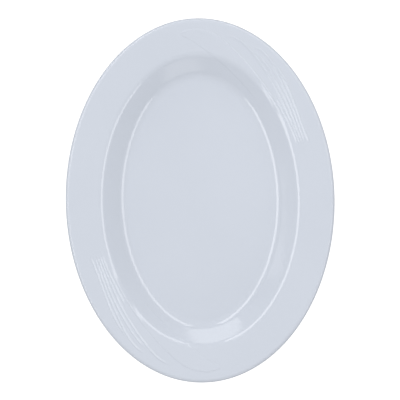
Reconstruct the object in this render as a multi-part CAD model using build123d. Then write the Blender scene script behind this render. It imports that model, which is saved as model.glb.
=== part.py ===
from build123d import *
import math
import os

# China serving platter: an oval platter with a broad rim, a sloping well and a moulded swirl at
# two opposite quarters of the rim. The clay body and its two areas of glaze are separate solids.
# Millimetres. X runs along the platter, Y across it, and Z up out of the well. The origin is at
# the centre of the foot ring's bearing plane.
#
# Every ring of the platter is an ellipse that keeps the same distance from the outline along both
# axes, so a ring is given by its inset from the outline. A place on the face is given by an angle
# in degrees and an inset.

# Outline, and the height of the lip's upper corner before it is rounded: the finished platter
# stands 28 high
HALF_LENGTH = 168.0
HALF_WIDTH = 124.0
LIP_HEIGHT = 28.56

# Face of the platter: the rim falls to the shoulder, and the wall falls from there to the floor
SHOULDER_INSET = 33.2
SHOULDER_HEIGHT = 23.0
SHOULDER_RADIUS = 13.0
FLOOR_INSET = 52.7
FLOOR_HEIGHT = 8.0
FLOOR_RADIUS = 15.0

# Lip and underside
LIP_THICKNESS = 4.8
LIP_TOP_RADIUS = 3.2
LIP_UNDER_RADIUS = 1.0
BELLY_INSET = 30.0
BELLY_HEIGHT = 19.2
BELLY_RADIUS = 9.0
HAUNCH_INSET = 48.6
HAUNCH_HEIGHT = 4.4
HAUNCH_RADIUS = 2.5

# Foot ring, and the recess inside it
FOOT_OUTER_INSET = 49.8
FOOT_INNER_INSET = 54.6
FOOT_EDGE_RADIUS = 0.7
RECESS_INSET = 56.2
RECESS_HEIGHT = 3.2
RECESS_RADIUS = 1.4

# Glaze: its thickness, and how far above the bearing edge of the foot it stops
GLAZE = 0.25
BARE_BAND = 0.8

# How close an edge's height must be to the height asked for
LEVEL_TOLERANCE = 0.001

# Moulded swirl
RELIEF_HEIGHT = 0.5
RELIEF_ROOT = 1.0
RIDGE_WIDTH = 1.5

# The broad leading blade lies between a crest and a trough that share a tip and a tail. The crest
# sweeps in from the lip to the shoulder. The trough crosses the shoulder and runs down the wall.
BLADE_TIP = (9.0, 12.5)
BLADE_TAIL = (-60.0, 37.0)
BLADE_CREST = [(1.0, 10.5), (-8.0, 13.5), (-18.0, 21.0), (-27.0, 26.5), (-42.0, 30.5)]
BLADE_TROUGH = [(4.0, 20.0), (-4.5, 29.5), (-12.0, 36.0), (-22.0, 41.0), (-40.0, 43.5)]

# The fine ridges beside the blade, from the shoulder outwards. The first starts halfway along, and
# the others start near the lip. Each sweeps inwards, then runs beside its neighbour and dies away.
FINE_RIDGES = [
    [(-47.0, 27.0), (-54.0, 27.8), (-64.0, 27.0), (-70.0, 26.3)],
    [(-13.5, 12.0), (-18.0, 11.2), (-26.0, 14.5), (-40.0, 21.3), (-53.0, 24.4), (-70.0, 23.6)],
    [(-28.0, 12.8), (-33.0, 14.8), (-43.0, 18.4), (-55.0, 21.2), (-70.0, 21.3)],
    [(-27.0, 10.0), (-32.0, 8.8), (-41.0, 12.6), (-50.0, 16.4), (-60.0, 19.0), (-70.0, 19.0)],
    [(-37.0, 8.6), (-45.0, 11.6), (-53.0, 14.8), (-62.0, 16.8), (-72.0, 15.2)],
]


def ring(inset, height):
    """The elliptical section at one inset from the outline."""
    return Plane.XY.offset(height) * Ellipse(HALF_WIDTH - inset, HALF_LENGTH - inset, rotation=90)


def stack(*stations):
    """A solid through a stack of rings, with straight sides from each ring to the next."""
    return loft([ring(inset, height) for inset, height in stations], ruled=True)


def edges_at(shape, height):
    """The edges of a shape that lie level at one height."""
    return [
        edge
        for edge in shape.edges()
        if abs(edge.bounding_box().min.Z - height) < LEVEL_TOLERANCE
        and abs(edge.bounding_box().max.Z - height) < LEVEL_TOLERANCE
    ]


def round_edges(shape, *rounds):
    """A shape with the level edges at each height rounded to that height's radius."""
    for height, radius in rounds:
        shape = fillet(edges_at(shape, height), radius)
    return shape


def well_form(coat):
    """The space inside the platter. It is enlarged by a coat, to leave room for the glaze."""
    well = stack(
        (FLOOR_INSET, FLOOR_HEIGHT - coat),
        (SHOULDER_INSET, SHOULDER_HEIGHT - coat),
        (coat, LIP_HEIGHT - coat),
    )
    return round_edges(
        well,
        (FLOOR_HEIGHT - coat, FLOOR_RADIUS),
        (SHOULDER_HEIGHT - coat, SHOULDER_RADIUS),
    )


def platter(coat):
    """The platter before its swirls: outer form less the well and the recess, all less a coat."""
    lip_top = LIP_HEIGHT - coat
    lip_underside = LIP_HEIGHT - LIP_THICKNESS + coat
    belly = BELLY_HEIGHT + coat
    haunch = HAUNCH_HEIGHT + coat
    recess_top = RECESS_HEIGHT + coat
    outer = stack(
        (FOOT_OUTER_INSET + coat, 0),
        (HAUNCH_INSET + coat, haunch),
        (BELLY_INSET + coat, belly),
        (coat, lip_underside),
        (coat, lip_top),
    )
    outer = round_edges(outer, (belly, BELLY_RADIUS), (haunch, HAUNCH_RADIUS))
    recess = stack((FOOT_INNER_INSET - coat, 0), (RECESS_INSET - coat, recess_top))
    recess = round_edges(recess, (recess_top, RECESS_RADIUS))
    return round_edges(
        outer - well_form(coat) - recess,
        (lip_top, LIP_TOP_RADIUS - coat),
        (lip_underside, LIP_UNDER_RADIUS - coat),
        (0, FOOT_EDGE_RADIUS),
    )


def place(angle, inset):
    """The plan position at an angle and an inset from the outline."""
    turn = math.radians(angle)
    return ((HALF_LENGTH - inset) * math.cos(turn), (HALF_WIDTH - inset) * math.sin(turn))


def crescent(tip, tail, *sides):
    """A pointed outline from a tip to a tail between two curved sides."""
    return make_face([Spline(*[place(*at) for at in (tip, *side, tail)]) for side in sides])


def ridge(stations):
    """The outline of a fine ridge, which tapers to a point at both ends."""
    tip, *middle, tail = stations
    half = RIDGE_WIDTH / 2
    outside = [(angle, inset - half) for angle, inset in middle]
    inside = [(angle, inset + half) for angle, inset in middle]
    return crescent(tip, tail, outside, inside)


def swirled(coat):
    """The platter less a coat, with both swirls raised on its face by the relief's height."""
    well = well_form(coat)
    layer = Pos(0, 0, -RELIEF_ROOT) * well - Pos(0, 0, RELIEF_HEIGHT) * well
    shape = platter(coat)
    outlines = [ridge(stations) for stations in FINE_RIDGES]
    outlines.append(crescent(BLADE_TIP, BLADE_TAIL, BLADE_CREST, BLADE_TROUGH))
    for outline in outlines:
        if coat < GLAZE:
            # The glaze rounds a ridge out by its own thickness, so its outline is that much wider
            outline = offset(outline, amount=GLAZE - coat).to_splines()
        part = extrude(outline, amount=LIP_HEIGHT) & layer
        shape = shape + part + Rot(0, 0, 180) * part
    return shape


foot_zone = Box(
    2 * HALF_LENGTH,
    2 * HALF_WIDTH,
    BARE_BAND,
    align=(Align.CENTER, Align.CENTER, Align.MIN),
)

# The clay fills the core under the glaze, and the whole of the foot ring's bare edge
core = swirled(GLAZE)
china_body = core + (platter(0) & foot_zone)
glaze = swirled(0) - foot_zone - core
foot_well_glaze, face_glaze = glaze.solids().sort_by(SortBy.AREA)

china_body.color = Color(0.93, 0.92, 0.88)
face_glaze.color = Color(0.86, 0.88, 0.92)
foot_well_glaze.color = Color(0.80, 0.83, 0.88)

os.makedirs("parts", exist_ok=True)
export_step(china_body, "parts/china_body.step")
export_step(face_glaze, "parts/face_glaze.step")
export_step(foot_well_glaze, "parts/foot_well_glaze.step")
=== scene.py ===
# %% [markdown]
# # An oval china serving platter
#
# The real platter is one piece of fired clay under a glossy, faintly blue-white glaze. The glaze
# covers everything except the narrow edge that the platter stands on, which is wiped clean so that
# it doesn't stick to the kiln shelf. So there are three pieces here: the glaze over the face and
# back, the glaze inside the foot ring, and the clay body, of which only the bare edge shows.
#
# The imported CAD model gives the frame: metres, X along the platter, Y across it, Z up.

# %% Load the frame
import bpy
import math
import numpy as np
from mathutils import Matrix, Vector


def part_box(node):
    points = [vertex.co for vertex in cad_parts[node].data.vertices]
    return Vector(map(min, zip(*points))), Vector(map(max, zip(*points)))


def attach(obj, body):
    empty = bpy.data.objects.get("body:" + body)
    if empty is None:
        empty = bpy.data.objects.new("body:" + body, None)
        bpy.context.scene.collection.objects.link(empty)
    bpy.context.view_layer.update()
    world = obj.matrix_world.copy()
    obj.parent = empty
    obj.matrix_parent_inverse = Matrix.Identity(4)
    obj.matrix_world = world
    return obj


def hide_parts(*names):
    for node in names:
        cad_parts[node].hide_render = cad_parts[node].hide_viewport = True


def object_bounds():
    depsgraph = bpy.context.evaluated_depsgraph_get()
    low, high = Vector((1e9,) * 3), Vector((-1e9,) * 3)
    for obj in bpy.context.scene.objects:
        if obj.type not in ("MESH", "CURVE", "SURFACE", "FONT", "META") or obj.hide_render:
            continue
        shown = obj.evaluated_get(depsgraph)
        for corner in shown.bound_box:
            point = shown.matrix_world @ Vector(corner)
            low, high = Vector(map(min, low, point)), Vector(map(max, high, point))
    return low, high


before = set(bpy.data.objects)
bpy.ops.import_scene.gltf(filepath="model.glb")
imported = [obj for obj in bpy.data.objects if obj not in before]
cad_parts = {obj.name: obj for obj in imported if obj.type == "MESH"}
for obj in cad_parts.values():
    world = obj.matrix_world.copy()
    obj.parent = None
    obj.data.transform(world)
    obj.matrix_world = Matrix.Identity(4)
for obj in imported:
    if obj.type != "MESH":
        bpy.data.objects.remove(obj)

bpy.ops.object.select_all(action="DESELECT")
cad_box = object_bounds()
glaze_low, glaze_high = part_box("face_glaze")
print("platter box in mm", [round(v * 1000, 1) for v in (*cad_box[0], *cad_box[1])])

# %% [markdown]
# ## The rings
#
# Every ring round the platter is an ellipse that keeps one distance from the outline: 30 mm in from
# the lip at the sides is 30 mm in at the ends too. Scaling one ellipse evenly can't do that, because
# the rim would come out wider at the ends. So each ring gets its own two half sizes, both reduced by
# the same inset.
#
# The flat floor is the exception. It has no feature of its own, so its rings are scaled evenly
# towards the middle, where they close in a point.

# %% Size the outline
MM = 0.001
HALF_LENGTH = (glaze_high.x - glaze_low.x) / 2
HALF_WIDTH = (glaze_high.y - glaze_low.y) / 2


def half_sizes(inset):
    """The two half sizes of the ring at an inset from the outline."""
    return HALF_LENGTH - inset, HALF_WIDTH - inset


print("half length and half width in mm", round(HALF_LENGTH / MM, 1), round(HALF_WIDTH / MM, 1))

# %% [markdown]
# ## The profile
#
# A potter would cut the platter's profile as a template: a few straight lines with rounded corners.
# It is drawn the same way here, as corners that each carry a radius, and a small helper swaps each
# corner for an arc. A Bezier curve would do too, but it makes it hard to keep the rim and the wall
# truly straight, and the eye catches that at once in a glossy reflection.

# %% Round the corners of a profile
def rounded(corners):
    """Points in metres along straight lines with arcs at the corners: x, z, radius, steps in mm."""
    path = [Vector(corners[0][:2])]
    for before, corner, after in zip(corners, corners[1:], corners[2:]):
        middle = Vector(corner[:2])
        radius, steps = corner[2:]
        if not radius:
            path.append(middle)
            continue
        way_in = (Vector(before[:2]) - middle).normalized()
        way_out = (Vector(after[:2]) - middle).normalized()
        half_angle = way_in.angle(way_out) / 2
        centre = middle + (way_in + way_out).normalized() * radius / math.sin(half_angle)
        reach = radius / math.tan(half_angle)
        first = middle + way_in * reach - centre
        last = middle + way_out * reach - centre
        for step in range(steps + 1):
            share = step / steps
            spoke = first.lerp(last, share).normalized() * radius
            path.append(centre + spoke)
    path.append(Vector(corners[-1][:2]))
    return [point * MM for point in path]


sample = rounded([(0, 0, 0, 0), (10, 0, 4, 6), (10, 10, 0, 0)])
print("a square corner rounded in six steps has", len(sample), "points")


# %% [markdown]
# Long straight runs of the profile need extra rings where relief will be lifted. Cutting them at one
# spacing keeps the faces there nearly square, so a ridge that crosses them at a slant stays smooth.

# %% Divide the straight runs
def divided(path, spacing, near, far):
    """The path with its straight runs between two insets cut into pieces of one spacing."""
    finer = [path[0]]
    for start, end in zip(path, path[1:]):
        between = near <= (start.x + end.x) / 2 <= far
        pieces = max(1, round((end - start).length / spacing)) if between else 1
        finer += [start.lerp(end, k / pieces) for k in range(1, pieces + 1)]
    return finer


print("the same path cut every half millimetre has", len(divided(sample, MM / 2, 0, 1)), "points")


# %% [markdown]
# The glaze's outer side runs from the floor up the wall, over the shoulder, along the rim, round the
# lip, back under the rim and down the outside of the foot, where it stops short of the bearing edge.
# The moulded lines lie between the lip and the middle of the wall, so the rings are close together
# there and sparse elsewhere: that is where the triangles are worth spending. Two corners with no
# radius mark where the close rings start and stop.

# %% Draw the outer side of the glaze
FLOOR_EDGE = 60.0
FLOOR = Vector((52.7, 8.0))
SHOULDER = Vector((33.2, 23.0))
LIP = Vector((0.0, 28.56))
LIP_UNDER = Vector((0.0, 23.76))
BELLY = Vector((30.0, 19.2))
HAUNCH = Vector((48.6, 4.4))
BARE_TOP = round(glaze_low.z / MM, 1)
low_mark = SHOULDER.lerp(FLOOR, 0.73)
high_mark = LIP.lerp(SHOULDER, 0.22)
face_corners = [
    (FLOOR_EDGE, FLOOR.y, 0, 0),
    (*FLOOR, 15.0, 14),
    (*low_mark, 0, 0),
    (*SHOULDER, 13.0, 15),
    (*high_mark, 0, 0),
    (*LIP, 3.2, 12),
    (*LIP_UNDER, 1.0, 5),
    (*BELLY, 9.0, 6),
    (*HAUNCH, 2.5, 4),
    (49.6, BARE_TOP, 0, 0),
]
RELIEF_NEAR, RELIEF_FAR = high_mark.x * MM, low_mark.x * MM
face_path = rounded(face_corners)
lip_top = max(range(len(face_path)), key=lambda k: face_path[k].y)
upper_path = divided(face_path[:lip_top], 0.4 * MM, RELIEF_NEAR, RELIEF_FAR)
face_path = upper_path + face_path[lip_top:]
print("rings on the glaze's outer side", len(face_path))

# %% [markdown]
# The glaze is a coat a quarter of a millimetre thick. Its hidden side lies on the clay and needs few
# rings. It is the same profile, set back, so the coat is a closed shell with a real thickness and
# not a sheet with no back.

# %% Draw the side of the glaze that lies on the clay
COAT = 0.25
clay_corners = [
    (49.6 + COAT, BARE_TOP, 0, 0),
    (HAUNCH.x + COAT, HAUNCH.y + COAT, 2.2, 2),
    (BELLY.x + COAT, BELLY.y + COAT, 8.7, 3),
    (COAT, LIP_UNDER.y + COAT, 0.8, 3),
    (COAT, LIP.y - COAT, 2.95, 6),
    (SHOULDER.x, SHOULDER.y - COAT, 13.2, 4),
    (FLOOR.x, FLOOR.y - COAT, 15.2, 5),
    (FLOOR_EDGE, FLOOR.y - COAT, 0, 0),
]
clay_path = rounded(clay_corners)
print("rings on the glaze's hidden side", len(clay_path))

# %% [markdown]
# ## Pulling the rings
#
# A ring starts as a circle primitive. Its edges are extruded, moved up or down, and scaled to the
# next ring's size, over and over, as one would with E, G, Z and S. A screw or spin can't make an
# oval, and a lofted surface would put its own seams where the light shows them.
#
# The circle's points aren't evenly spaced. They are close together where the moulded lines will be,
# on two opposite quarters, and sparse between them.

# %% Choose where the columns of points stand
SWIRL_START, SWIRL_END = -77.0, 15.0


def column_angles(close_step, wide_step):
    """Angles round the ring in degrees: close in both swirls, wide between them."""
    close = np.linspace(SWIRL_START, SWIRL_END, round((SWIRL_END - SWIRL_START) / close_step) + 1)
    wide = np.linspace(SWIRL_END, SWIRL_START + 180, round(88 / wide_step) + 1)
    half = np.concatenate([close[:-1], wide[:-1]])
    return np.radians(np.concatenate([half, half + 180]))


fine_columns = column_angles(0.45, 2.2)
coarse_columns = column_angles(2.0, 2.2)
print("columns round the face", len(fine_columns), "and round hidden pieces", len(coarse_columns))


# %% [markdown]
# One helper pulls every piece: the ring goes up or down and in or out along a profile, and both
# ends are closed in the middle, so each piece is a closed shell.

# %% Pull a shape from a first ring through the rest
def ring_in_edit_mode(name, columns):
    """A circle primitive with its points at the columns' angles, left in edit mode."""
    bpy.ops.object.select_all(action="DESELECT")
    bpy.ops.mesh.primitive_circle_add(vertices=len(columns), radius=1.0)
    piece = bpy.context.object
    piece.name = piece.data.name = name
    for point, angle in zip(piece.data.vertices, columns):
        point.co = (math.cos(angle), math.sin(angle), 0)
    bpy.ops.object.mode_set(mode="EDIT")
    bpy.ops.mesh.select_mode(type="EDGE")
    bpy.ops.mesh.select_all(action="SELECT")
    return piece


def close_in_a_point():
    """Fills the selected ring and pokes the face, so that its triangles meet in the middle."""
    bpy.ops.mesh.edge_face_add()
    bpy.ops.mesh.poke()


def pull(name, columns, rings):
    """A closed shape through rings, each given as half length, half width and height."""
    piece = ring_in_edit_mode(name, columns)
    (length, width, height), *others = rings
    bpy.ops.transform.resize(value=(length, width, 1), center_override=(0, 0, 0))
    bpy.ops.transform.translate(value=(0, 0, height))
    for next_length, next_width, next_height in others:
        bpy.ops.mesh.extrude_edges_move(
            TRANSFORM_OT_translate={"value": (0, 0, next_height - height)}
        )
        bpy.ops.transform.resize(
            value=(next_length / length, next_width / width, 1),
            center_override=(0, 0, next_height),
        )
        length, width, height = next_length, next_width, next_height
    close_in_a_point()
    bpy.ops.mesh.select_all(action="DESELECT")
    bpy.ops.mesh.select_mode(type="VERT")
    bpy.ops.mesh.select_non_manifold(extend=False)
    close_in_a_point()
    bpy.ops.mesh.select_all(action="SELECT")
    bpy.ops.mesh.remove_doubles(threshold=MM / 1000)
    bpy.ops.mesh.normals_make_consistent(inside=False)
    bpy.ops.object.mode_set(mode="OBJECT")
    return piece


def floor_rings(height, shares):
    """Rings across the flat floor, each a share of the size of the ring at the floor's edge."""
    length, width = half_sizes(FLOOR_EDGE * MM)
    return [(length * share, width * share, height * MM) for share in shares]


def path_rings(path):
    """The rings along a profile whose points are inset and height."""
    return [(*half_sizes(point.x), point.y) for point in path]


INNER_SHARES = [0.03, 0.2, 0.4, 0.6, 0.8, 0.95]
face = pull(
    "glaze_over_face",
    fine_columns,
    floor_rings(FLOOR.y, INNER_SHARES)
    + path_rings(face_path)
    + path_rings(clay_path)
    + floor_rings(FLOOR.y - COAT, INNER_SHARES[::-1]),
)
print("faces on the glaze", len(face.data.polygons))

# %% [markdown]
# ## The moulded swirls
#
# Two identical swirls are moulded into the clay, half a turn apart, so the platter looks the same
# from either end. In each one a broad blade starts in a tip near the end of the platter. Its crest
# sweeps in to the shoulder, and its inner edge crosses the shoulder and runs down the wall. Five fine
# ridges follow it: they start near the lip, sweep inwards, then run side by side and die away.
#
# The lines are given as places on the face: an angle round the platter in degrees and an inset in
# millimetres. A smooth curve through them is measured against every point of the face, and the
# result is a painted weight: 1 on a crest, 0 away from it. The Displace modifier then lifts the
# face by that weight. Sculpting would do the same by eye, and booleans would leave hard steps where
# the real glaze has softened every edge.

# %% Draw the swirl's lines
BLADE_CREST = [(9, 12.6), (5, 11.2), (0.7, 10.5), (-7, 13.1), (-14.5, 18.8), (-26.7, 26.4),
               (-41, 30.6), (-56, 30.8), (-69, 28.6)]
BLADE_TROUGH = [(9, 12.8), (3.4, 20), (-4.5, 29.5), (-12, 36), (-22, 41), (-39, 44.5), (-52, 45.2)]
FINE_RIDGES = [
    [(-45, 26.6), (-53.7, 27.8), (-64, 26.9), (-71, 26.2)],
    [(-13, 12.2), (-17.9, 11.0), (-25.8, 14.1), (-40.7, 21.3), (-53.4, 24.4), (-71, 23.5)],
    [(-28, 12.7), (-33.3, 14.8), (-40.4, 17.4), (-53, 20.8), (-71, 21.3)],
    [(-26, 10.6), (-31, 8.7), (-38, 10.9), (-47, 15.8), (-58.6, 18.9), (-71, 19.2)],
    [(-36, 8.6), (-46.5, 12.1), (-58.4, 16.0), (-64, 16.8), (-72, 15.0)],
]


def smooth_line(places, per_span=24):
    """Points in metres on a smooth curve through places on the face."""
    knots = np.array([
        ((HALF_LENGTH - inset * MM) * math.cos(math.radians(angle)),
         (HALF_WIDTH - inset * MM) * math.sin(math.radians(angle)))
        for angle, inset in places
    ])
    ends = np.vstack([2 * knots[0] - knots[1], knots, 2 * knots[-1] - knots[-2]])
    share = np.linspace(0, 1, per_span, endpoint=False)[:, None]
    spans = []
    for a, b, c, d in zip(ends, ends[1:], ends[2:], ends[3:]):
        spans.append(0.5 * (2 * b + (c - a) * share + (2 * a - 5 * b + 4 * c - d) * share**2
                            + (3 * b - a - 3 * c + d) * share**3))
    return np.vstack([*spans, knots[-1:]])


print("length of the blade's crest in mm",
      round(np.linalg.norm(np.diff(smooth_line(BLADE_CREST), axis=0), axis=1).sum() / MM))


# %% [markdown]
# To shape a ridge, each point of the face needs to know how far it is from the ridge's line, on which
# side, and how far along. The nearest stretch of the line gives all three.

# %% Measure the face against a line
def measured(points, line):
    """Each point's distance outside the line, below zero inside it, and its share along the line."""
    best = np.full(len(points), np.inf)
    side = np.zeros(len(points))
    along = np.zeros(len(points))
    steps = np.diff(line, axis=0)
    lengths = np.linalg.norm(steps, axis=1)
    travelled = np.concatenate([[0], np.cumsum(lengths)])
    for start, step, length, before in zip(line, steps, lengths, travelled):
        offset = points - start
        share = np.clip(offset @ step / length**2, 0, 1)
        gap = offset - share[:, None] * step
        distance = np.hypot(gap[:, 0], gap[:, 1])
        nearer = distance < best
        best[nearer] = distance[nearer]
        side[nearer] = np.sign(step[0] * offset[:, 1] - step[1] * offset[:, 0])[nearer]
        along[nearer] = before + share[nearer] * length
    return best * side, along, travelled[-1]


def eased(value):
    """A smooth step from 0 to 1."""
    value = np.clip(value, 0, 1)
    return value * value * (3 - 2 * value)


def ridge_weight(points, line, outer, inner, rise, fall):
    """Weight of a ridge: widths of its steep outer and gentle inner side, lengths of its ends."""
    across, along, length = measured(points, line)
    flank = np.where(across > 0, 1 - across / outer, 1 + across / inner)
    return eased(flank) * eased(along / rise) * eased((length - along) / fall)


across_line = measured(np.array([[0.5, 0.2], [0.5, -0.2]]), np.array([[0.0, 0.0], [1.0, 0.0]]))[0]
print("distances to the left and right of a line", across_line.round(2))


# %% [markdown]
# A ridge has a steep side towards the lip and a gentler one towards the well, as if one thin leaf
# lay on the next. The blade is broader: highest at its crest, and falling away across its width to
# its inner edge, where a small step drops to the wall. Only the upper side of the glaze is lifted, so
# the coat is thicker there. On the real platter the clay carries the relief, but no view shows that.

# %% Weigh the face
RELIEF = 0.5 * MM
RIDGE_SHARE, CREST_SHARE = 0.8, 0.95
STEP_SHARE, SLOPE_SHARE = 0.5, 0.4
spots = np.array([point.co for point in face.data.vertices])
ring_of_point = np.arange(len(spots)) // len(fine_columns)
upper_side = ring_of_point < len(INNER_SHARES) + len(upper_path)
turned = np.where((spots[:, 0] * 0.85 - spots[:, 1] * 0.53 < 0)[:, None], -spots[:, :2], spots[:, :2])
near_swirl = upper_side & (np.hypot(turned[:, 0] / HALF_LENGTH, turned[:, 1] / HALF_WIDTH) > 0.6)
near = turned[near_swirl]
crest, trough = smooth_line(BLADE_CREST), smooth_line(BLADE_TROUGH)
weight = ridge_weight(near, crest, 1.25 * MM, 3.0 * MM, 6 * MM, 45 * MM) * CREST_SHARE
for places in FINE_RIDGES:
    ridge = ridge_weight(near, smooth_line(places), 0.9 * MM, 1.9 * MM, 12 * MM, 8 * MM)
    weight = np.maximum(weight, ridge * RIDGE_SHARE)
inside_crest, along_crest, crest_length = measured(near, crest)
inside_trough, along_trough, trough_length = measured(near, trough)
between = (inside_crest < 0) & (inside_trough > 0)
breadth = np.abs(inside_crest) + np.abs(inside_trough) + MM / 100
leaf = np.where(between, STEP_SHARE + SLOPE_SHARE * np.abs(inside_trough) / breadth, 0)
leaf = leaf * eased(np.abs(inside_trough) / (0.65 * MM))
leaf = leaf * eased(along_trough / (8 * MM)) * eased((trough_length - along_trough) / (50 * MM))
weight = np.maximum(weight, leaf * eased(-inside_crest / (0.8 * MM)))
print("points lifted", int((weight > 0.01).sum()), "of", len(spots))

# %% [markdown]
# The weights go into a vertex group, and a Displace modifier lifts the face straight up by them. It is
# applied at once, so the mesh is the finished shape.

# %% Lift the face by its weights
group = face.vertex_groups.new(name="moulded relief")
for index, value in zip(np.flatnonzero(near_swirl), weight):
    if value > 0.001:
        group.add([int(index)], float(value), "REPLACE")
bpy.context.view_layer.objects.active = face
lift = face.modifiers.new("moulded relief", "DISPLACE")
lift.direction = "Z"
lift.mid_level = 0
lift.strength = RELIEF
lift.vertex_group = group.name
bpy.ops.object.modifier_apply(modifier=lift.name)
face.vertex_groups.clear()
lowest = min(point.co.z for point in face.data.vertices)
print("lowest point of the glaze in mm", round(lowest / MM, 2))

# %% [markdown]
# ## The glaze inside the foot ring
#
# Turn a platter over and the foot ring frames a shallow oval recess with its own patch of glaze. The
# bare bearing edge separates it from the coat on the outside.

# %% Pull the glaze of the recess
foot_patch_corners = [
    (54.95, BARE_TOP, 0, 0),
    (56.2, 3.2, 1.4, 5),
    (FLOOR_EDGE, 3.2, 0, 0),
]
foot_patch_hidden = [
    (FLOOR_EDGE, 3.2 + COAT, 0, 0),
    (56.2 - COAT, 3.2 + COAT, 1.6, 4),
    (54.95 - COAT, BARE_TOP, 0, 0),
]
foot_patch = pull(
    "glaze_inside_foot",
    coarse_columns,
    floor_rings(3.2 + COAT, INNER_SHARES)
    + path_rings(rounded(foot_patch_hidden))
    + path_rings(rounded(foot_patch_corners))
    + floor_rings(3.2, INNER_SHARES[::-1]),
)
print("faces on the foot's glaze", len(foot_patch.data.polygons))

# %% [markdown]
# ## The clay body
#
# Nearly all of the clay is under glaze, but its shape is still the full platter, kept a hair below
# the glaze so that the two never touch. The foot ring is the part that shows: a narrow matt band with
# softened corners, which takes the platter's weight.

# %% Pull the clay body
UNDER = 0.3
body_top = [
    (FLOOR_EDGE, FLOOR.y - UNDER, 0, 0),
    (FLOOR.x, FLOOR.y - UNDER, 15.2, 5),
    (SHOULDER.x, SHOULDER.y - UNDER, 13.2, 4),
    (UNDER, LIP.y - UNDER, 2.9, 6),
    (UNDER, LIP_UNDER.y + UNDER, 0.7, 3),
    (BELLY.x + UNDER, BELLY.y + UNDER, 8.6, 4),
    (HAUNCH.x + UNDER, HAUNCH.y + UNDER, 2.1, 3),
    (49.6 + UNDER, BARE_TOP + 0.05, 0, 0),
    (49.6, BARE_TOP - 0.02, 0, 0),
    (49.8, 0.0, 0.7, 6),
    (54.6, 0.0, 0.7, 6),
    (54.95, BARE_TOP - 0.02, 0, 0),
    (54.95 - UNDER, BARE_TOP + 0.05, 0, 0),
    (56.2 - UNDER, 3.2 + UNDER, 1.7, 4),
    (FLOOR_EDGE, 3.2 + UNDER, 0, 0),
]
clay = pull(
    "clay_body",
    coarse_columns,
    floor_rings(FLOOR.y - UNDER, INNER_SHARES)
    + path_rings(rounded(body_top))
    + floor_rings(3.2 + UNDER, INNER_SHARES[::-1]),
)
print("faces on the clay", len(clay.data.polygons))

# %% [markdown]
# Smooth shading makes the facets read as one surface. An angle limit keeps the thin edges of the
# glaze, where it stops above the bare clay, as real edges.

# %% Smooth the pieces
for piece in (face, foot_patch, clay):
    bpy.ops.object.select_all(action="DESELECT")
    piece.select_set(True)
    bpy.context.view_layer.objects.active = piece
    bpy.ops.object.shade_smooth_by_angle(angle=math.radians(50))
    print(piece.name, "triangles", sum(len(p.vertices) - 2 for p in piece.data.polygons))

# %% [markdown]
# ## Shared effects for the materials
#
# A fired glaze is never quite flat. It ripples softly over a few centimetres, and finer orange peel
# lies on top, so reflections waver a little. Both glazed pieces need it, so it is one node group
# that puts out a height. A second group puts out a soft mask for uneven colour.

# %% Helpers for nodes
def add_node(tree, kind, place, **settings):
    """A node of one kind at a place in its tree, with its settings made."""
    node = tree.nodes.new(kind)
    node.location = place
    for key, value in settings.items():
        setattr(node, key, value)
    return node


def noise(tree, place, source, scale, detail=2.0, roughness=0.5):
    """A noise texture on the piece's own coordinates."""
    node = add_node(tree, "ShaderNodeTexNoise", place)
    node.inputs["Scale"].default_value = scale
    node.inputs["Detail"].default_value = detail
    node.inputs["Roughness"].default_value = roughness
    tree.links.new(source, node.inputs["Vector"])
    return node


def sockets(group, inputs, outputs):
    """Names a group's sockets and gives its input and output nodes."""
    for name, kind, value in inputs:
        socket = group.interface.new_socket(name, in_out="INPUT", socket_type=kind)
        if value is not None:
            socket.default_value = value
    for name, kind in outputs:
        group.interface.new_socket(name, in_out="OUTPUT", socket_type=kind)
    return (add_node(group, "NodeGroupInput", (-900, 0)),
            add_node(group, "NodeGroupOutput", (500, 0)))


print("node groups so far", len(bpy.data.node_groups))


# %% [markdown]
# The ripple is two noises: waves a few centimetres long, and a little orange peel on top of them.

# %% Build the ripple group
ripple = bpy.data.node_groups.new("fired glaze ripple", "ShaderNodeTree")
start, end = sockets(
    ripple,
    [("Vector", "NodeSocketVector", None), ("Wave Size", "NodeSocketFloat", 22.0),
     ("Peel Size", "NodeSocketFloat", 260.0), ("Peel Share", "NodeSocketFloat", 0.05)],
    [("Height", "NodeSocketFloat")],
)
waves = noise(ripple, (-500, 150), start.outputs["Vector"], 22.0, 1.0)
peel = noise(ripple, (-500, -150), start.outputs["Vector"], 260.0, 1.0)
ripple.links.new(start.outputs["Wave Size"], waves.inputs["Scale"])
ripple.links.new(start.outputs["Peel Size"], peel.inputs["Scale"])
scaled_peel = add_node(ripple, "ShaderNodeMath", (-200, -150), operation="MULTIPLY")
ripple.links.new(peel.outputs["Fac"], scaled_peel.inputs[0])
ripple.links.new(start.outputs["Peel Share"], scaled_peel.inputs[1])
together = add_node(ripple, "ShaderNodeMath", (100, 0), operation="ADD")
ripple.links.new(waves.outputs["Fac"], together.inputs[0])
ripple.links.new(scaled_peel.outputs[0], together.inputs[1])
ripple.links.new(together.outputs[0], end.inputs["Height"])
print("ripple group has", len(ripple.nodes), "nodes")

# %% [markdown]
# The mottle gives slow patches and rare specks. A speck shows only where the fine noise is near its
# highest, which keeps specks few.

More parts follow.
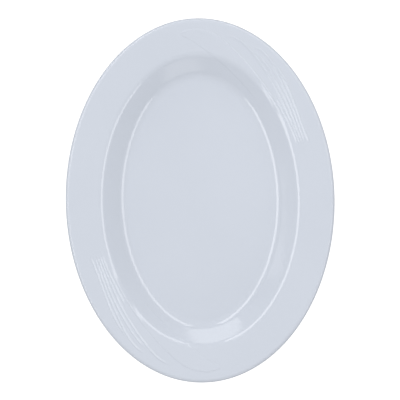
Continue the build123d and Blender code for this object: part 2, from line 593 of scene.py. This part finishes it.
# %% Build the mottle group
mottle = bpy.data.node_groups.new("soft mottle", "ShaderNodeTree")
start, end = sockets(
    mottle,
    [("Vector", "NodeSocketVector", None), ("Patch Size", "NodeSocketFloat", 9.0),
     ("Speck Size", "NodeSocketFloat", 1300.0)],
    [("Patches", "NodeSocketFloat"), ("Specks", "NodeSocketFloat")],
)
patches = noise(mottle, (-500, 150), start.outputs["Vector"], 9.0, 3.0, 0.6)
mottle.links.new(start.outputs["Patch Size"], patches.inputs["Scale"])
mottle.links.new(patches.outputs["Fac"], end.inputs["Patches"])
specks = noise(mottle, (-500, -150), start.outputs["Vector"], 1300.0, 0.0)
mottle.links.new(start.outputs["Speck Size"], specks.inputs["Scale"])
rare = add_node(mottle, "ShaderNodeMapRange", (-200, -150))
rare.inputs["From Min"].default_value = 0.80
rare.inputs["From Max"].default_value = 0.86
mottle.links.new(specks.outputs["Fac"], rare.inputs["Value"])
mottle.links.new(rare.outputs["Result"], end.inputs["Specks"])
print("mottle group has", len(mottle.nodes), "nodes")

# %% [markdown]
# ## The glaze
#
# Vitrified china is a cool white that leans to blue. The glaze is glass over that white, so the
# shader is a pale base under a sharp, clear reflection. The colour drifts by a percent or two over
# some centimetres, a few pale grey specks sit in it, and the polish varies slightly with use.

# %% Helpers for materials
def placed_group(tree, group, place):
    """A shader node group set in a material."""
    node = add_node(tree, "ShaderNodeGroup", place)
    node.node_tree = group
    return node


def colour_ramp(tree, place, source, low, high, dark, light):
    """A ramp from one colour to another between two values."""
    node = add_node(tree, "ShaderNodeValToRGB", place)
    node.color_ramp.elements[0].position = low
    node.color_ramp.elements[0].color = (*dark, 1)
    node.color_ramp.elements[1].position = high
    node.color_ramp.elements[1].color = (*light, 1)
    tree.links.new(source, node.inputs["Fac"])
    return node


def value_range(tree, place, source, low, high, to_low, to_high):
    """A value moved from one range to another."""
    node = add_node(tree, "ShaderNodeMapRange", place)
    for name, value in zip(("From Min", "From Max", "To Min", "To Max"),
                           (low, high, to_low, to_high)):
        node.inputs[name].default_value = value
    tree.links.new(source, node.inputs["Value"])
    return node


# %% [markdown]
# The glaze itself: tone and polish follow the patches, and the ripple bends the reflection. The
# refractive index is at the high end for a glaze, to keep the highlights clear on so pale a base.

# %% Make the glaze
def fresh_material(name):
    """A new material with its shader and the piece's own coordinates."""
    material = bpy.data.materials.new(name)
    material.use_nodes = True
    tree = material.node_tree
    shader = tree.nodes["Principled BSDF"]
    where = add_node(tree, "ShaderNodeTexCoord", (-1200, 0)).outputs["Object"]
    return material, tree, shader, where


GLAZE_PALE = (0.626, 0.661, 0.730)
GLAZE_DEEP = (0.614, 0.649, 0.718)


def glaze_material(name, ripple_height, dull):
    """Glossy white glaze. Dull raises its roughness where it gets wear."""
    material, tree, shader, where = fresh_material(name)
    uneven = placed_group(tree, mottle, (-950, 200))
    tree.links.new(where, uneven.inputs["Vector"])
    tone = colour_ramp(tree, (-700, 350), uneven.outputs["Patches"], 0.35, 0.65,
                       GLAZE_DEEP, GLAZE_PALE)
    specked = add_node(tree, "ShaderNodeMix", (-350, 350), data_type="RGBA")
    tree.links.new(uneven.outputs["Specks"], specked.inputs["Factor"])
    tree.links.new(tone.outputs["Color"], specked.inputs["A"])
    specked.inputs["B"].default_value = (0.58, 0.61, 0.67, 1)
    tree.links.new(specked.outputs["Result"], shader.inputs["Base Color"])
    polish = value_range(tree, (-700, 50), uneven.outputs["Patches"], 0.3, 0.7,
                         0.03 + dull, 0.06 + dull)
    tree.links.new(polish.outputs["Result"], shader.inputs["Roughness"])
    waves = placed_group(tree, ripple, (-950, -300))
    tree.links.new(where, waves.inputs["Vector"])
    bump = add_node(tree, "ShaderNodeBump", (-350, -250))
    bump.inputs["Strength"].default_value = 1.0
    bump.inputs["Distance"].default_value = ripple_height
    tree.links.new(waves.outputs["Height"], bump.inputs["Height"])
    tree.links.new(bump.outputs["Normal"], shader.inputs["Normal"])
    shader.inputs["IOR"].default_value = 1.6
    return material


face_glaze = glaze_material("white glaze", 0.12 * MM, 0.0)
foot_glaze = glaze_material("white glaze under the foot", 0.25 * MM, 0.06)
print("glaze materials", face_glaze.name, "and", foot_glaze.name)

# %% [markdown]
# ## The bare clay
#
# The bearing edge is ground and rubbed on a stone after firing. It is warmer than the glaze, quite
# matt, finely gritty, and has picked up a little grey from the shelves that it has stood on.

# %% Make the bare clay
clay_material, tree, shader, where = fresh_material("bare fired clay")
uneven = placed_group(tree, mottle, (-950, 200))
tree.links.new(where, uneven.inputs["Vector"])
uneven.inputs["Patch Size"].default_value = 45.0
uneven.inputs["Speck Size"].default_value = 900.0
tone = colour_ramp(tree, (-700, 350), uneven.outputs["Patches"], 0.3, 0.68,
                   (0.60, 0.57, 0.51), (0.78, 0.75, 0.69))
specked = add_node(tree, "ShaderNodeMix", (-350, 350), data_type="RGBA")
tree.links.new(uneven.outputs["Specks"], specked.inputs["Factor"])
tree.links.new(tone.outputs["Color"], specked.inputs["A"])
specked.inputs["B"].default_value = (0.36, 0.33, 0.30, 1)
tree.links.new(specked.outputs["Result"], shader.inputs["Base Color"])
matt = value_range(tree, (-700, 50), uneven.outputs["Patches"], 0.3, 0.7, 0.62, 0.9)
tree.links.new(matt.outputs["Result"], shader.inputs["Roughness"])
grit = noise(tree, (-700, -250), where, 2200.0, 2.0)
bump = add_node(tree, "ShaderNodeBump", (-350, -250))
bump.inputs["Strength"].default_value = 0.8
bump.inputs["Distance"].default_value = 0.06 * MM
tree.links.new(grit.outputs["Fac"], bump.inputs["Height"])
tree.links.new(bump.outputs["Normal"], shader.inputs["Normal"])
print("bare clay has", len(tree.nodes), "nodes")

# %% [markdown]
# Each piece takes its material, rides on the one body, and stands for its CAD node.

# %% Dress the pieces and place them in the frame
for piece, material, slot, node in (
    (face, face_glaze, "glaze", "face_glaze"),
    (foot_patch, foot_glaze, "glaze", "foot_well_glaze"),
    (clay, clay_material, "bisque", "china_body"),
):
    piece.data.materials.clear()
    piece.data.materials.append(material)
    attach(piece, "root")
    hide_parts(node)
    print(piece.name, "stands for", node)

# %% [markdown]
# ## The studio
#
# White china on white needs darkness as much as light: the form shows only where the surroundings
# it mirrors change. So the table is plain white and bright, and the air around is an even pale grey.
# Two soft panels stand at the sides, and each draws a bright line along the shoulder and the foot of
# the wall on the opposite side of the platter. A low window at the far end is mirrored in the wall
# at the near end. Two low fills are about as bright as the air, so they lift the walls that face
# them without showing as reflections.
#
# The table glows only towards the camera. If it lit the platter too, the underside and the round of
# the lip would lose their shade, and the platter's edge would be lost against the white.

# %% Lay the table
bpy.ops.object.select_all(action="DESELECT")
bpy.ops.mesh.primitive_plane_add(size=14)
table = bpy.context.object
table.name = "table"
white = bpy.data.materials.new("plain white table")
white.use_nodes = True
white_shader = white.node_tree.nodes["Principled BSDF"]
white_shader.inputs["Base Color"].default_value = (0.4, 0.4, 0.4, 1)
white_shader.inputs["Roughness"].default_value = 0.9
white_shader.inputs["Emission Color"].default_value = (1, 1, 1, 1)
light_path = add_node(white.node_tree, "ShaderNodeLightPath", (-400, 0))
glow = value_range(white.node_tree, (-200, 0), light_path.outputs["Is Camera Ray"], 0, 1, 0.0, 0.9)
white.node_tree.links.new(glow.outputs["Result"], white_shader.inputs["Emission Strength"])
table.data.materials.append(white)
print("table width in m", table.dimensions.x)

# %% [markdown]
# The air is even and slightly cool, so no side of the platter falls into shade.

# %% Fill the air with even light
world = bpy.data.worlds.new("pale studio")
bpy.context.scene.world = world
world.use_nodes = True
air = world.node_tree.nodes["Background"]
air.inputs["Color"].default_value = (0.97, 0.985, 1.0, 1)
air.inputs["Strength"].default_value = 0.61
print("studio air strength", air.inputs["Strength"].default_value)


# %% [markdown]
# The panels are placed by azimuth and elevation from the middle of the platter, and all face it.

# %% Stand the panels
def panel(name, azimuth, elevation, distance, width, height, radiance):
    """A soft panel that faces the platter. Azimuth turns from +X towards +Y."""
    turn, tilt = math.radians(azimuth), math.radians(elevation)
    place = Vector((math.cos(turn) * math.cos(tilt), math.sin(turn) * math.cos(tilt),
                    math.sin(tilt))) * distance
    lamp = bpy.data.lights.new(name, "AREA")
    lamp.shape = "RECTANGLE"
    lamp.size, lamp.size_y = width, height
    lamp.energy = radiance * 4 * width * height
    stand = bpy.data.objects.new(name, lamp)
    bpy.context.scene.collection.objects.link(stand)
    stand.location = place
    stand.rotation_euler = (-place).to_track_quat("-Z", "Y").to_euler()
    stand.visible_camera = False
    return stand


panel("left panel", 73, 50, 1.6, 2.6, 0.45, 2.2)
panel("right panel", -71, 49, 1.6, 3.2, 0.45, 1.75)
panel("low window", 8, 15.5, 2.4, 2.7, 0.4, 1.15)
panel("low fill at the near end", 190, 14, 2.4, 3.0, 0.45, 0.65)
panel("low fill at the left", 85, 14, 2.4, 2.8, 0.3, 0.65)

# %% [markdown]
# ## The camera
#
# It hangs straight above the platter on a long lens, so that the oval keeps its true proportions and
# the rim doesn't lean in. The platter lies with its length up and down the frame, turned by about a
# degree.

# %% Hang the camera
FIELD = 368.4 * MM
CAMERA_DROP = 2.4
LEAN = math.radians(-91.07)
camera = bpy.data.cameras.new("camera above")
camera.sensor_width = 36.0
camera.lens = camera.sensor_width * CAMERA_DROP / FIELD
eye = bpy.data.objects.new("camera above", camera)
bpy.context.scene.collection.objects.link(eye)
eye.location = (0.37 * MM, 0.13 * MM, cad_box[1].z + CAMERA_DROP)
eye.rotation_euler = (0, 0, LEAN)
bpy.context.scene.camera = eye
bpy.context.scene.view_settings.view_transform = "Standard"
print("lens in mm", round(camera.lens))
